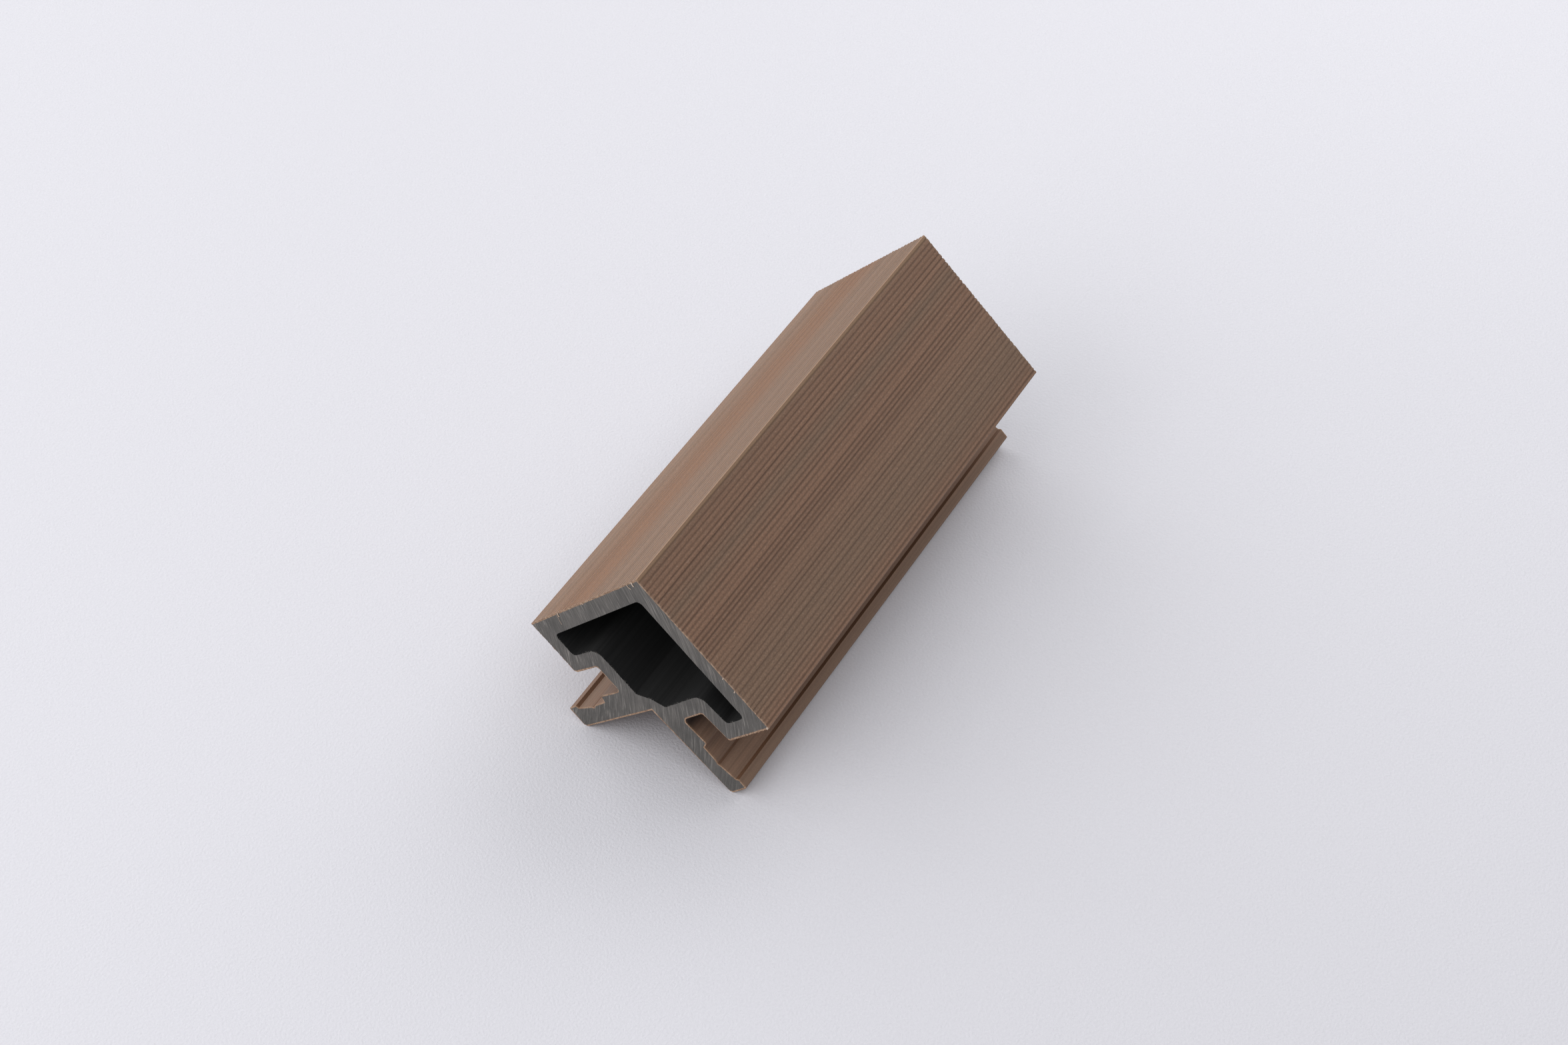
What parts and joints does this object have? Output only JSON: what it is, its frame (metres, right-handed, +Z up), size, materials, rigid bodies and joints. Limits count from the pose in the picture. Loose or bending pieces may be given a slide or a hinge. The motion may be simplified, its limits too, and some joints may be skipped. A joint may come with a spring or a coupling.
{
  "type": "composite corner moulding",
  "caption": "Short sawn length of hollow wood-plastic corner trim: two finely combed outer faces at a right angle, a board slot behind each wing, and lipped fixing flanges behind.",
  "frame": {"origin": "on the floor below the ridge, at mid-length: the bottom centre of the box as it stands on its two flange edges", "axes": "+Y along the length, with the sawn end in the picture at -Y; +Z up through the ridge; +X to the right of the section as seen from -Y"},
  "size_m": [0.0704, 0.1442, 0.0687],
  "materials": {
    "composite": "matt brown skin, finely combed on the outer faces, over a grey wood-plastic core that shows at the sawn ends and in the chamber"
  },
  "bodies": {
    "root": {"corner_moulding": "composite"}
  },
  "joints": []
}
